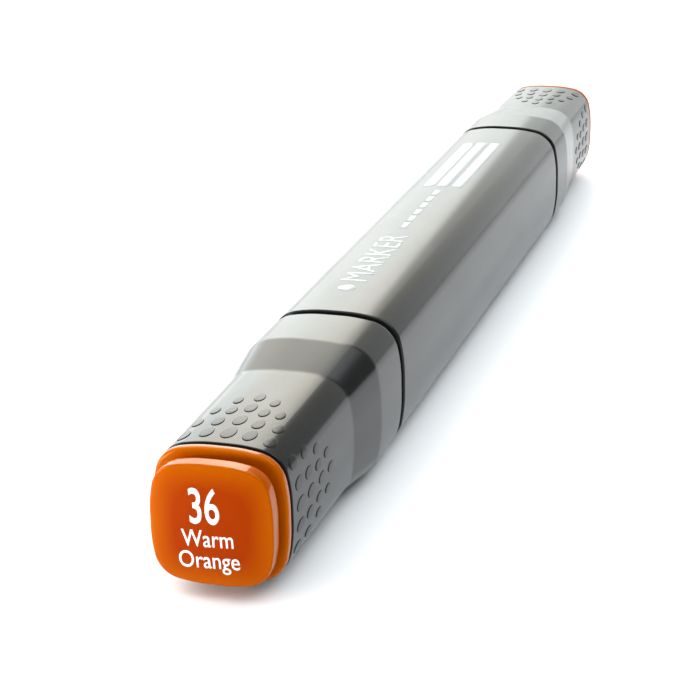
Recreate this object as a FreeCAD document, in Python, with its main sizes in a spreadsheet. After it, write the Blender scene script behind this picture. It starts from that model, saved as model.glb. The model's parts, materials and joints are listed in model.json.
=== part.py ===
"""A twin-tip art marker, lying on one of its four sides.

The marker lies along X, with its broad-nib end at -X and its fine-nib end at +X. The origin is
the bottom centre of the whole marker and +Z is up. Lengths are millimetres.

Every cross-section is one figure at different sizes: a square whose sides are flat in the
middle and bow gently towards large round corners. A section's size is its half width. Each end
is drawn in its own frame, where X is the distance inward from that end's plug face.
"""

import FreeCAD
import Part
import Sketcher
import math
import os

DIMENSIONS = [
    ("overall_length", 158.0, "plug face to plug face"),
    ("body_half", 7.6, "half width of the barrel and of the caps' rims"),
    ("flat_share", 0.12, "flat part of a section's side, over its half width"),
    ("bow_share", 2.3, "radius of the bowed part of a side, over its half width"),
    ("corner_share", 0.475, "corner radius over half width"),
    ("seat_gap", 0.05, "gap between pieces that seat on each other"),
    ("slip_gap", 0.15, "gap all round between pieces that slide"),
    ("broad_cap_length", 38.4, "plug face to rim, broad-nib cap"),
    ("broad_cap_full", 8.0, "length of full section at that cap's rim"),
    ("broad_cap_slope", 7.4, "length of its sloping shoulder"),
    ("fine_cap_length", 34.6, "plug face to rim, fine-nib cap"),
    ("fine_cap_full", 7.2, "length of full section at that cap's rim"),
    ("fine_cap_slope", 9.0, "length of its sloping shoulder"),
    ("waist_half", 6.8, "half width of a cap at the foot of its shoulder"),
    ("tail_half", 6.62, "half width of a cap at its plug end"),
    ("cap_wall", 1.25, "wall of a cap's shell"),
    ("rim_round", 0.25, "rounding of the cap rims and the barrel's ends"),
    ("button_half", 6.0, "half width of the plug's button"),
    ("button_depth", 1.65, "thickness of that button"),
    ("button_round", 0.3, "rounding round its face"),
    ("neck_half", 5.35, "half width of the groove behind the button"),
    ("neck_depth", 0.9, "width of that groove"),
    ("flange_half", 6.6, "half width of the plug's flange"),
    ("flange_depth", 0.95, "thickness of that flange"),
    ("spigot_length", 4.6, "length of the plug's spigot"),
    ("spigot_wall", 1.1, "wall of that spigot"),
    ("ledge_half", 6.5, "half width of the liner's flange"),
    ("ledge_depth", 0.38, "thickness of that flange"),
    ("liner_wall", 0.8, "wall of the liner"),
    ("liner_sleeve", 5.2, "length of the liner's square sleeve, past its flange"),
    ("cup_radius", 5.15, "outer radius of the liner's sealing cup"),
    ("cup_floor", 0.9, "floor that closes that cup"),
    ("lip_length", 1.2, "length of the lip at the cup's mouth"),
    ("cup_mouth_gap", 0.5, "from the cup's mouth to the stem"),
    ("barrel_wall", 1.25, "wall of the barrel"),
    ("rib_thickness", 0.9, "thickness of the barrel's four inner ribs"),
    ("ring_half", 7.25, "half width of the dark ring between barrel and cap"),
    ("ring_depth", 1.05, "thickness of that ring"),
    ("socket_length", 11.0, "how far a nib holder goes into the barrel"),
    ("stem_half", 5.8, "half width of the stem that the cap slides over"),
    ("stem_length", 7.4, "length of that stem"),
    ("bead_depth", 0.9, "width of the bead that grips the cap"),
    ("bead_setback", 2.6, "from the stem's front to that bead"),
    ("land_radius", 4.1, "radius of the land that the cup's lip seals on"),
    ("land_length", 3.0, "length of that land"),
    ("broad_mouth_radius", 3.6, "radius at the broad nose's mouth"),
    ("broad_nose_length", 5.6, "length of the broad nose cone"),
    ("fine_mouth_radius", 1.9, "radius at the fine nose's mouth"),
    ("fine_nose_length", 6.2, "length of the fine nose cone"),
    ("chisel_width", 5.2, "width of the broad nib"),
    ("chisel_thickness", 2.9, "thickness of the broad nib"),
    ("chisel_reach", 5.4, "how far its long corner stands out of the nose"),
    ("chisel_slant", 2.4, "how much less its other corner stands out"),
    ("chisel_edge", 0.6, "thickness of its writing edge"),
    ("chisel_bevel", 1.9, "length of the bevels beside that edge"),
    ("bullet_radius", 1.05, "radius of the fine nib"),
    ("bullet_reach", 2.8, "how far the fine nib stands out of the nose"),
    ("bullet_taper", 1.5, "length of its tapered tip"),
    ("bullet_tip_radius", 0.35, "radius at the end of that tip"),
    ("nib_tail", 5.0, "how far a nib goes into the fibre core"),
    ("core_radius", 4.9, "radius of the fibre core"),
    ("film_wall", 0.2, "thickness of the film round the core"),
    ("core_gap", 0.5, "from each end of the core to the holder"),
    ("dot_height", 0.1, "how far a grip dot stands above the cap"),
    ("dot_long", 2.7, "length along the cap of the middle oval dot nearest the plug"),
    ("dot_wide", 1.46, "width of that dot"),
    ("dot_shift", 0.3, "how far the dots' pattern sits to one side"),
]

# A cap side's rows of grip dots, from the plug inward: the middle dot's station, the sideways
# step between dots, how many there are, and how far each pair sits back towards the plug.
DOT_ROWS = [
    (6.5, 2.12, 5, (0.15, 0.55)),
    (9.6, 2.0, 5, (0.5, 0.6)),
    (12.8, 1.63, 5, (0.9, 0.9)),
    (15.5, 1.87, 3, (1.0,)),
]
DOT_SHRINK = 0.9               # size over that in the row before, or of the next dot inward
SIDES = 4                      # sides of every section
CUT_MARGIN = 1.0               # how far a cutting solid runs past the face it opens


class Measure:
    """A length that carries both its number and its spreadsheet formula."""

    def __init__(self, number, formula):
        self.number = number
        self.formula = formula

    def __add__(self, other):
        other = measure(other)
        return Measure(self.number + other.number, f"({self.formula} + {other.formula})")

    def __sub__(self, other):
        other = measure(other)
        return Measure(self.number - other.number, f"({self.formula} - {other.formula})")

    def __mul__(self, other):
        other = measure(other)
        return Measure(self.number * other.number, f"({self.formula} * {other.formula})")

    def __neg__(self):
        return Measure(-self.number, f"(0 - {self.formula})")


def measure(thing):
    return thing if isinstance(thing, Measure) else Measure(float(thing), str(thing))


doc = FreeCAD.newDocument("TwinTipMarker")
sheet = doc.addObject("Spreadsheet::Sheet", "Dims")
dim = {}
for row, (alias, number, note) in enumerate(DIMENSIONS, start=1):
    sheet.set(f"A{row}", note)
    sheet.set(f"B{row}", str(number))
    sheet.setAlias(f"B{row}", alias)
    dim[alias] = Measure(number, f"Dims.{alias}")
doc.recompute()


class End:
    """The stations of one end of the marker, inward from its plug face."""

    def __init__(self, name):
        self.name = name
        self.button_back = dim["button_depth"]
        self.neck_back = self.button_back + dim["neck_depth"]
        self.plug_back = self.neck_back + dim["flange_depth"]
        self.ledge_front = self.plug_back + dim["seat_gap"]
        self.ledge_back = self.ledge_front + dim["ledge_depth"]
        self.shell_front = self.ledge_back + dim["seat_gap"]
        self.sleeve_back = self.ledge_back + dim["liner_sleeve"]
        self.cup_bottom = self.sleeve_back + dim["cup_floor"]
        self.rim = dim[f"{name}_cap_length"]
        self.shoulder = self.rim - dim[f"{name}_cap_full"]
        self.waist = self.shoulder - dim[f"{name}_cap_slope"]
        self.ring_front = self.rim + dim["seat_gap"]
        self.ring_back = self.ring_front + dim["ring_depth"]
        self.barrel = self.ring_back + dim["seat_gap"]
        self.socket_back = self.ring_back + dim["socket_length"]
        self.stem_front = self.ring_front - dim["stem_length"]
        self.cup_mouth = self.stem_front - dim["cup_mouth_gap"]
        self.land_front = self.stem_front - dim["land_length"]
        self.mouth = self.land_front - dim[f"{name}_nose_length"]
        self.core_end = self.ring_back + dim["core_gap"]
        self.nib_back = self.core_end + dim["nib_tail"]


BROAD = End("broad")
FINE = End("fine")
BORE_HALF = dim["body_half"] - dim["barrel_wall"]
FILM_RADIUS = dim["core_radius"] + dim["film_wall"]
HALF_LENGTH = dim["overall_length"] * 0.5


def bind(feature, prop, length):
    """Ties one property of a feature to the sheet."""
    feature.setExpression(prop, length.formula)


def place(piece, end):
    """Puts a piece drawn in an end's frame into the marker; the fine end is turned about."""
    turn = 0 if end.name == "broad" else 180
    start = -HALF_LENGTH if end.name == "broad" else HALF_LENGTH
    piece.Placement = FreeCAD.Placement(
        FreeCAD.Vector(start.number, 0, dim["body_half"].number),
        FreeCAD.Rotation(FreeCAD.Vector(0, 0, 1), turn),
    )
    bind(piece, "Placement.Base.x", start)
    bind(piece, "Placement.Base.z", dim["body_half"])


def new_body(label, end):
    body = doc.addObject("PartDesign::Body", label)
    body.Label = label
    place(body, end)
    return body


def new_sketch(body, name, role, station=None):
    """A sketch on one of the body's origin planes, moved along that plane's normal."""
    sketch = body.newObject("Sketcher::SketchObject", name)
    plane = next(part for part in body.Origin.OriginFeatures if part.Role == role)
    sketch.AttachmentSupport = [(plane, "")]
    sketch.MapMode = "FlatFace"
    if station is not None:
        bind(sketch, "AttachmentOffset.Base.z", station)
    return sketch


def drive(sketch, name, constraint, length):
    """Adds a named dimension to a sketch and ties it to the sheet."""
    sketch.renameConstraint(sketch.addConstraint(constraint), name)
    bind(sketch, f"Constraints.{name}", length)


def figure(half):
    """The section's arcs for a half width: where the bowed and corner arcs have their centres."""
    flat = dim["flat_share"].number * half
    bow = dim["bow_share"].number * half
    corner = dim["corner_share"].number * half
    inward = half - bow
    reach = inward + flat
    spare = reach**2 - 2 * (inward**2 + flat**2 - (bow - corner) ** 2)
    centre = (reach + math.sqrt(spare)) / 2
    turn = math.atan2(centre - flat, centre - inward)
    return flat, bow, corner, inward, centre, turn


def section(body, name, half, station):
    """The bowed square, fully constrained: per side a flat, a bowed arc, a corner, a bowed arc."""
    sketch = new_sketch(body, name, "YZ_Plane", station)
    flat, bow, corner, inward, centre, turn = figure(half.number)
    up = FreeCAD.Vector(0, 0, 1)
    edges = []
    for side in range(SIDES):
        angle = side * math.pi / 2
        spin = FreeCAD.Rotation(up, math.degrees(angle))

        def point(x, y):
            return spin.multVec(FreeCAD.Vector(x, y, 0))

        def arc(x, y, radius, begin, finish):
            circle = Part.Circle(point(x, y), up, radius)
            return Part.ArcOfCircle(circle, begin + angle, finish + angle)

        edges.append(Part.LineSegment(point(half.number, -flat), point(half.number, flat)))
        edges.append(arc(inward, flat, bow, 0, turn))
        edges.append(arc(centre, centre, corner, turn, math.pi / 2 - turn))
        edges.append(arc(flat, inward, bow, math.pi / 2 - turn, math.pi / 2))
    sketch.addGeometry(edges, False)

    flats = range(0, len(edges), 4)
    bows = range(1, len(edges), 2)
    corners = range(2, len(edges), 4)
    ties = [
        Sketcher.Constraint("Tangent", edge, 2, (edge + 1) % len(edges), 1)
        for edge in range(len(edges))
    ]
    for side, edge in enumerate(flats):
        ties.append(Sketcher.Constraint("Symmetric", edge, 1, edge, 2, -1 - side % 2))
    for family in (flats, bows, corners):
        for edge in family[1:]:
            ties.append(Sketcher.Constraint("Equal", family[0], edge))
    sketch.addConstraint(ties)

    right, top, left, bottom = flats
    wide = half.number
    drive(sketch, "right", Sketcher.Constraint("DistanceX", -1, 1, right, 1, wide), half)
    drive(sketch, "top", Sketcher.Constraint("DistanceY", -1, 1, top, 1, wide), half)
    drive(sketch, "left", Sketcher.Constraint("DistanceX", left, 1, -1, 1, wide), half)
    drive(sketch, "bottom", Sketcher.Constraint("DistanceY", bottom, 1, -1, 1, wide), half)
    drive(sketch, "flat", Sketcher.Constraint("Distance", right, 2 * flat),
          half * dim["flat_share"] * 2)
    drive(sketch, "bow", Sketcher.Constraint("Radius", bows[0], bow), half * dim["bow_share"])
    drive(sketch, "corner", Sketcher.Constraint("Radius", corners[0], corner),
          half * dim["corner_share"])
    return sketch


def circle_sketch(body, name, radius, station):
    sketch = new_sketch(body, name, "YZ_Plane", station)
    ring = Part.Circle(FreeCAD.Vector(0, 0, 0), FreeCAD.Vector(0, 0, 1), radius.number)
    sketch.addGeometry(ring, False)
    sketch.addConstraint(Sketcher.Constraint("Coincident", 0, 3, -1, 1))
    drive(sketch, "radius", Sketcher.Constraint("Radius", 0, radius.number), radius)
    return sketch


def outline_sketch(body, name, role, points):
    """A closed outline of straight edges whose corners are all dimensioned from the origin."""
    sketch = new_sketch(body, name, role)
    spots = [FreeCAD.Vector(x.number, y.number, 0) for x, y in points]
    edges = len(points)
    sketch.addGeometry(
        [Part.LineSegment(spots[k], spots[(k + 1) % edges]) for k in range(edges)], False
    )
    sketch.addConstraint(
        [Sketcher.Constraint("Coincident", k, 2, (k + 1) % edges, 1) for k in range(edges)]
    )
    for k, (x, y) in enumerate(points):
        for kind, letter, length in (("DistanceX", "x", x), ("DistanceY", "y", y)):
            tie = Sketcher.Constraint(kind, -1, 1, k, 1, length.number)
            drive(sketch, f"{letter}{k}", tie, length)
    return sketch


def pad(body, name, profile, length):
    feature = body.newObject("PartDesign::Pad", name)
    feature.Profile = (profile, [""])
    bind(feature, "Length", length)
    return feature


def pocket(body, name, profile, length, reverse=True):
    """Cuts along +X from the profile when reversed, and along -X when not."""
    doc.recompute()
    before = body.Shape.Volume
    feature = body.newObject("PartDesign::Pocket", name)
    feature.Profile = (profile, [""])
    feature.Reversed = reverse
    bind(feature, "Length", length)
    doc.recompute()
    if body.Shape.Volume > before - 0.5:
        raise RuntimeError(f"{name} removed nothing")
    return feature


def loft(body, name, kind, profiles):
    feature = body.newObject(f"PartDesign::{kind}Loft", name)
    feature.Profile = (profiles[0], [""])
    feature.Sections = [(profile, [""]) for profile in profiles[1:]]
    feature.Ruled = True
    return feature


def turned(body, name, points):
    """A solid turned about the marker's axis from an outline of (station, radius) corners."""
    profile = outline_sketch(body, f"{name}_outline", "XY_Plane", points)
    feature = body.newObject("PartDesign::Revolution", name)
    feature.Profile = (profile, [""])
    feature.ReferenceAxis = (profile, ["H_Axis"])
    feature.Angle = 360
    return feature


def round_edges(body, name, radius, station, outer_half):
    """Rounds the outer edges that lie at a station."""
    doc.recompute()
    base = body.Tip
    names = []
    for number, edge in enumerate(base.Shape.Edges, start=1):
        middle = edge.valueAt((edge.FirstParameter + edge.LastParameter) / 2)
        spread = max(abs(middle.y), abs(middle.z))
        at_station = all(abs(v.X - station.number) < 1e-4 for v in edge.Vertexes)
        if at_station and spread > outer_half.number * 0.75:
            names.append(f"Edge{number}")
    feature = body.newObject("PartDesign::Fillet", name)
    feature.Base = (base, names)
    bind(feature, "Radius", radius)
    return feature


# ---- a cap: shell, liner, plug and grip dots ----

def make_shell(end):
    """The cap's outer shell: a tube open at both ends, slim at the plug and full at the rim."""
    body = new_body(f"{end.name}_cap_shell", end)
    wall = dim["cap_wall"]

    def stretch(prefix, inset, first):
        halves = (dim["tail_half"], dim["waist_half"], dim["body_half"])
        places = (first, end.waist, end.shoulder)
        return [
            section(body, f"{prefix}{k}", half - inset, station)
            for k, (half, station) in enumerate(zip(halves, places))
        ]

    full = section(body, "full", dim["body_half"], end.shoulder)
    pad(body, "full_tube", full, end.rim - end.shoulder)
    round_edges(body, "rim_edge", dim["rim_round"], end.rim, dim["body_half"])
    loft(body, "slim_tube", "Additive", stretch("outer", 0, end.shell_front))
    loft(body, "slim_bore", "Subtractive", stretch("inner", wall, end.shell_front))
    bore = section(body, "full_bore_end", dim["body_half"] - wall, end.shoulder)
    pocket(body, "full_bore", bore, end.rim - end.shoulder)
    return body


def make_liner(end):
    """The liner: a flange, a square sleeve that takes the plug, and a cup that seals the nib."""
    body = new_body(f"{end.name}_cap_liner", end)
    sleeve_half = dim["tail_half"] - dim["cap_wall"] - dim["seat_gap"]
    socket_half = sleeve_half - dim["liner_wall"]
    cup_bore = dim["cup_radius"] - dim["liner_wall"]
    lip_bore = dim["land_radius"] + dim["slip_gap"]
    lip_back = end.cup_mouth - dim["lip_length"]

    ledge = section(body, "ledge_outline", dim["ledge_half"], end.ledge_front)
    pad(body, "ledge", ledge, dim["ledge_depth"])
    sleeve = section(body, "sleeve_outline", sleeve_half, end.ledge_back)
    pad(body, "sleeve", sleeve, dim["liner_sleeve"])
    cup = circle_sketch(body, "cup_outline", dim["cup_radius"], end.sleeve_back)
    pad(body, "cup", cup, end.cup_mouth - end.sleeve_back)
    socket = section(body, "plug_socket_outline", socket_half, end.ledge_front)
    pocket(body, "plug_socket", socket, end.sleeve_back - end.ledge_front)
    hollow = circle_sketch(body, "cup_hollow_outline", cup_bore, end.cup_bottom)
    pocket(body, "cup_hollow", hollow, lip_back - end.cup_bottom)
    lip = circle_sketch(body, "lip_outline", lip_bore, lip_back)
    pocket(body, "lip", lip, dim["lip_length"])
    return body


def make_plug(end):
    """The coloured end plug: button, groove, flange and a hollow spigot."""
    body = new_body(f"{end.name}_end_plug", end)
    spigot_half = (
        dim["tail_half"] - dim["cap_wall"] - dim["liner_wall"] - dim["seat_gap"] * 2
    )
    button = section(body, "button_outline", dim["button_half"], measure(0))
    pad(body, "button", button, dim["button_depth"])
    round_edges(body, "button_edge", dim["button_round"], measure(0), dim["button_half"])
    neck = section(body, "neck_outline", dim["neck_half"], end.button_back)
    pad(body, "neck", neck, dim["neck_depth"])
    flange = section(body, "flange_outline", dim["flange_half"], end.neck_back)
    pad(body, "flange", flange, dim["flange_depth"])
    spigot = section(body, "spigot_outline", spigot_half, end.plug_back)
    pad(body, "spigot", spigot, dim["spigot_length"])
    hollow = section(body, "hollow_outline", spigot_half - dim["spigot_wall"], end.plug_back)
    pocket(body, "hollow", hollow, dim["spigot_length"])
    return body


def surface_spot(half, sideways):
    """Height and lean of a section's top side at a place sideways of its middle."""
    flat, bow, corner, inward, centre, turn = figure(half)
    across = abs(sideways)
    if across <= flat:
        return half, 0.0
    if across <= flat + bow * math.sin(turn):
        lean = math.asin((across - flat) / bow)
        return inward + bow * math.cos(lean), math.copysign(lean, sideways)
    lean = math.asin((across - centre) / corner)
    return centre + corner * math.cos(lean), math.copysign(lean, sideways)


def dot_places():
    """Station, sideways place and relative size of each grip dot on one side of a cap."""
    places = []
    size = 1.0
    for station, step, count, back in DOT_ROWS:
        for place in range(-(count // 2), count // 2 + 1):
            setback = back[abs(place) - 1] if place else 0.0
            sideways = place * step + dim["dot_shift"].number
            places.append((station - setback, sideways, size * DOT_SHRINK ** abs(place)))
        size *= DOT_SHRINK
    return places


def oval_post(base, outward, size, height):
    """An oval post, long side along the cap, from a base spot outward."""
    ahead = FreeCAD.Vector(1, 0, 0) * (dim["dot_long"].number / 2 * size)
    aside = outward.cross(FreeCAD.Vector(1, 0, 0)) * (dim["dot_wide"].number / 2 * size)
    oval = Part.Ellipse(base + ahead, base + aside, base)
    return Part.Face(Part.Wire(oval.toShape())).extrude(outward * height)


def make_dots(end, shell):
    """Raised grip dots on all four sides of a cap's slim part, each a separate solid."""
    taper = (dim["waist_half"] - dim["tail_half"]).number
    run = (end.waist - end.shell_front).number
    height = dim["dot_height"].number
    depth = dim["cap_wall"].number
    solid_cap = shell.Shape.copy()
    solid_cap.Placement = FreeCAD.Placement()
    dots = []
    for station, sideways, size in dot_places():
        half = dim["tail_half"].number + taper * (station - end.shell_front.number) / run
        level, lean = surface_spot(half, sideways)
        outward = FreeCAD.Vector(0, math.sin(lean), math.cos(lean))
        base = FreeCAD.Vector(station, sideways, level) - outward * (depth * 0.5)
        post = oval_post(base, outward, size, depth * 0.5 + height)
        for side in range(SIDES):
            turned_post = post.copy()
            turned_post.rotate(FreeCAD.Vector(0, 0, 0), FreeCAD.Vector(1, 0, 0), 90 * side)
            dots.append(turned_post.cut(solid_cap).Solids[0])
    feature = doc.addObject("Part::Feature", f"{end.name}_cap_grip_dots")
    feature.Label = f"{end.name}_cap_grip_dots"
    feature.Shape = Part.makeCompound(dots)
    place(feature, end)
    return feature


# ---- the writing parts ----

def make_holder(end):
    """A nib holder: socket in the barrel, ring at the seam, stem, sealing land and nose."""
    body = new_body(f"{end.name}_nib_holder", end)
    bead_half = dim["body_half"] - dim["cap_wall"] - dim["slip_gap"]
    ring = section(body, "ring_outline", dim["ring_half"], end.ring_front)
    pad(body, "ring", ring, dim["ring_depth"])
    socket = section(body, "socket_outline", BORE_HALF - dim["seat_gap"], end.ring_back)
    pad(body, "socket", socket, dim["socket_length"])
    stem = section(body, "stem_outline", dim["stem_half"], end.stem_front)
    pad(body, "stem", stem, dim["stem_length"])
    bead = section(body, "bead_outline", bead_half, end.stem_front + dim["bead_setback"])
    pad(body, "bead", bead, dim["bead_depth"])
    turned(body, "nose", [
        (end.mouth, measure(0)),
        (end.stem_front + CUT_MARGIN, measure(0)),
        (end.stem_front + CUT_MARGIN, dim["land_radius"]),
        (end.land_front, dim["land_radius"]),
        (end.mouth, dim[f"{end.name}_mouth_radius"]),
    ])
    seat = circle_sketch(body, "core_seat_outline", FILM_RADIUS + dim["seat_gap"], end.ring_back)
    pocket(body, "core_seat", seat, dim["socket_length"])
    channel = nib_section(body, "channel_outline", end, dim["seat_gap"])
    pocket(body, "channel", channel, end.ring_back - end.mouth)
    return body


def nib_section(body, name, end, gap):
    """The nib's own cross-section, grown by a gap all round, at the nose's mouth."""
    if end is FINE:
        return circle_sketch(body, name, dim["bullet_radius"] + gap, end.mouth)
    across = dim["chisel_thickness"] * 0.5 + gap
    tall = dim["chisel_width"] * 0.5 + gap
    sketch = outline_sketch(
        body, name, "YZ_Plane",
        [(-across, -tall), (across, -tall), (across, tall), (-across, tall)],
    )
    bind(sketch, "AttachmentOffset.Base.z", end.mouth)
    return sketch


def make_chisel_nib():
    """The broad nib: a flat felt bar cut on a slant and bevelled to a writing edge."""
    end = BROAD
    body = new_body("broad_chisel_nib", end)
    low = -(dim["chisel_width"] * 0.5)
    high = dim["chisel_width"] * 0.5
    tip = end.mouth - dim["chisel_reach"]
    side_view = outline_sketch(body, "side_view", "XZ_Plane", [
        (tip, low), (end.nib_back, low), (end.nib_back, high), (tip + dim["chisel_slant"], high),
    ])
    bar = pad(body, "bar", side_view, dim["chisel_thickness"])
    bar.Midplane = True
    doc.recompute()
    front = (tip + dim["chisel_slant"]).number + 0.01
    cheek = dim["chisel_thickness"].number / 2
    edges = []
    for number, edge in enumerate(bar.Shape.Edges, start=1):
        if all(v.X < front and abs(abs(v.Y) - cheek) < 1e-4 for v in edge.Vertexes):
            if abs(edge.Vertexes[0].Z - edge.Vertexes[1].Z) > 1:
                edges.append(f"Edge{number}")
    bevel = body.newObject("PartDesign::Chamfer", "bevel")
    bevel.Base = (bar, edges)
    bevel.ChamferType = "Two distances"
    bind(bevel, "Size", (dim["chisel_thickness"] - dim["chisel_edge"]) * 0.5)
    bind(bevel, "Size2", dim["chisel_bevel"])
    return body


def make_bullet_nib():
    """The fine nib: a round felt rod with a tapered tip."""
    end = FINE
    body = new_body("fine_bullet_nib", end)
    tip = end.mouth - dim["bullet_reach"]
    turned(body, "rod", [
        (tip, measure(0)),
        (end.nib_back, measure(0)),
        (end.nib_back, dim["bullet_radius"]),
        (tip + dim["bullet_taper"], dim["bullet_radius"]),
        (tip, dim["bullet_tip_radius"]),
    ])
    return body


# ---- barrel and reservoir ----

def make_barrel():
    """The barrel: a square tube with four inner ribs that centre the reservoir."""
    body = new_body("barrel", BROAD)
    length = dim["overall_length"] - BROAD.barrel - FINE.barrel
    outline = section(body, "tube_outline", dim["body_half"], BROAD.barrel)
    pad(body, "tube", outline, length)
    round_edges(body, "broad_edge", dim["rim_round"], BROAD.barrel, dim["body_half"])
    far = BROAD.barrel + length
    round_edges(body, "fine_edge", dim["rim_round"], far, dim["body_half"])
    bore = section(body, "bore_outline", BORE_HALF, BROAD.barrel)
    pocket(body, "bore", bore, length)

    rib_start = BROAD.socket_back + dim["slip_gap"]
    rib_end = dim["overall_length"] - FINE.socket_back - dim["slip_gap"]
    inner = FILM_RADIUS + dim["seat_gap"]
    outer = BORE_HALF + dim["barrel_wall"] * 0.5
    edge = dim["rib_thickness"] * 0.5
    sketch = outline_sketch(
        body, "rib_outline", "YZ_Plane",
        [(inner, -edge), (outer, -edge), (outer, edge), (inner, edge)],
    )
    bind(sketch, "AttachmentOffset.Base.z", rib_start)
    rib = pad(body, "rib", sketch, rib_end - rib_start)
    doc.recompute()
    ribs = body.newObject("PartDesign::PolarPattern", "ribs")
    ribs.Originals = [rib]
    ribs.Axis = (sketch, ["N_Axis"])
    ribs.Angle = 360
    ribs.Occurrences = SIDES
    body.Tip = ribs
    return body


def axis_cylinder(name, radius, length, station):
    """A cylinder along the marker's axis, placed straight in the marker's frame."""
    cylinder = doc.addObject("Part::Cylinder", name)
    start = station - HALF_LENGTH
    cylinder.Placement = FreeCAD.Placement(
        FreeCAD.Vector(start.number, 0, dim["body_half"].number),
        FreeCAD.Rotation(FreeCAD.Vector(0, 1, 0), 90),
    )
    bind(cylinder, "Radius", radius)
    bind(cylinder, "Height", length)
    bind(cylinder, "Placement.Base.x", start)
    bind(cylinder, "Placement.Base.z", dim["body_half"])
    return cylinder


def cut_from(name, base, tools):
    """Part's cut of one or more tools from a base, as the named sub-part."""
    for number, tool in enumerate(tools, start=1):
        cut = doc.addObject("Part::Cut", name if tool is tools[-1] else f"{name}_{number}")
        cut.Base = base
        cut.Tool = tool
        base = cut
    base.Label = name
    return base


def make_reservoir():
    """The fibre core, with a socket for each nib, and the film sleeve round it."""
    length = dim["overall_length"] - BROAD.core_end - FINE.core_end
    core = axis_cylinder("core_rod", dim["core_radius"], length, BROAD.core_end)
    tail = dim["nib_tail"] + dim["seat_gap"]
    slot = doc.addObject("Part::Box", "chisel_slot")
    slot_y = dim["chisel_thickness"] + dim["seat_gap"] * 2
    slot_z = dim["chisel_width"] + dim["seat_gap"] * 2
    bind(slot, "Length", tail)
    bind(slot, "Width", slot_y)
    bind(slot, "Height", slot_z)
    bind(slot, "Placement.Base.x", BROAD.core_end - HALF_LENGTH)
    bind(slot, "Placement.Base.y", slot_y * -0.5)
    bind(slot, "Placement.Base.z", dim["body_half"] - slot_z * 0.5)
    hole_start = dim["overall_length"] - FINE.core_end - tail
    hole = axis_cylinder("bullet_hole", dim["bullet_radius"] + dim["seat_gap"], tail, hole_start)
    fibre = cut_from("reservoir_core", core, [slot, hole])

    outer = axis_cylinder("film_outside", FILM_RADIUS, length, BROAD.core_end)
    inner = axis_cylinder("film_inside", dim["core_radius"] + dim["seat_gap"] * 0.2, length,
                          BROAD.core_end)
    film = cut_from("reservoir_film", outer, [inner])
    return [fibre, film]


pieces = [make_barrel(), make_chisel_nib(), make_bullet_nib()]
pieces += make_reservoir()
for end in (BROAD, FINE):
    pieces += [make_holder(end), make_shell(end), make_liner(end), make_plug(end)]
doc.recompute()
for end in (BROAD, FINE):
    shell = next(piece for piece in pieces if piece.Label == f"{end.name}_cap_shell")
    pieces.append(make_dots(end, shell))
doc.recompute()

for item in doc.Objects:
    if "Invalid" in item.State or "Error" in item.State:
        raise RuntimeError(f"{item.Label} did not compute: {item.State}")
os.makedirs("parts", exist_ok=True)
for piece in pieces:
    shape = piece.Shape
    if shape.isNull() or not shape.isValid() or not shape.Solids:
        raise RuntimeError(f"{piece.Label} is not a valid solid")
for piece in pieces:
    piece.Shape.exportStep(os.path.join("parts", f"{piece.Label}.step"))
    box = piece.Shape.optimalBoundingBox(False)
    print(f"{piece.Label:22s} {piece.Shape.Volume:9.1f} mm3 "
          f"x {box.XMin:7.2f} {box.XMax:7.2f}  z {box.ZMin:6.2f} {box.ZMax:6.2f}")
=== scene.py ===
"""Looks for a twin-tip art marker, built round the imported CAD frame.

Lengths below are millimetres unless a name says otherwise; everything is scaled to metres when
a mesh is made. Each end of the marker is drawn in its own frame, where x is the distance inward
from that end's plug face, and is then turned into the marker's frame.
"""
import json
import math

import bmesh
import bpy
from mathutils import Matrix, Vector

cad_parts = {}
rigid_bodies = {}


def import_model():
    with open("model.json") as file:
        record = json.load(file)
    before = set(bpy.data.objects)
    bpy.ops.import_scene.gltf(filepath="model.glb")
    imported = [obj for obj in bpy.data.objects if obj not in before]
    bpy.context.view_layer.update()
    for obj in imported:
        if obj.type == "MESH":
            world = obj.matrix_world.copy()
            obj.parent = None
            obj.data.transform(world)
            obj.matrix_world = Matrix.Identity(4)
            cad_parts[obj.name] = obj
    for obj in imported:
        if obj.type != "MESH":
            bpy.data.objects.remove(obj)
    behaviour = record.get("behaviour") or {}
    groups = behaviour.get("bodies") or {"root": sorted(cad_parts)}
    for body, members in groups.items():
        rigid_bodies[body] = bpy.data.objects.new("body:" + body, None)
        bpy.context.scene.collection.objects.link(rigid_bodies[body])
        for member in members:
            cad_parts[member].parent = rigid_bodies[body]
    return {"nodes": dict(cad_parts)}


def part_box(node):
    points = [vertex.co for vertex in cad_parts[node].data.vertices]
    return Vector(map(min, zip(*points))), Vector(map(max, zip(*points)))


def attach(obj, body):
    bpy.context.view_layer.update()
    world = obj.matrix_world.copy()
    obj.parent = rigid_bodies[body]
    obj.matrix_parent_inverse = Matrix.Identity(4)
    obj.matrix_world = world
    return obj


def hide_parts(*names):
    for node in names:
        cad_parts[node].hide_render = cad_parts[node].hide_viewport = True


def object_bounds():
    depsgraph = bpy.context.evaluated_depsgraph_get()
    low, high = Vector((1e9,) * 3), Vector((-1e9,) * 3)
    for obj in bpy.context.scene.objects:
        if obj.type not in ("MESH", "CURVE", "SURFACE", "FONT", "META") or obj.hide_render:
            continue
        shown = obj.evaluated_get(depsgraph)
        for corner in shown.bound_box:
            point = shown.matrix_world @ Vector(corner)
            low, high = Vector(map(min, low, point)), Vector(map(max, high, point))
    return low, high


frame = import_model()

cad_low, cad_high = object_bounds()
MM = 0.001


# ---- sizes, read from the frame where a CAD node gives them ----

def span(node, axis):
    """Lowest and highest coordinate of a CAD node along one axis, in millimetres."""
    low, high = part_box(node)
    return low[axis] / MM, high[axis] / MM


def half_height(node):
    """Half of a CAD node's height, in millimetres."""
    low, high = span(node, 2)
    return (high - low) / 2


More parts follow.
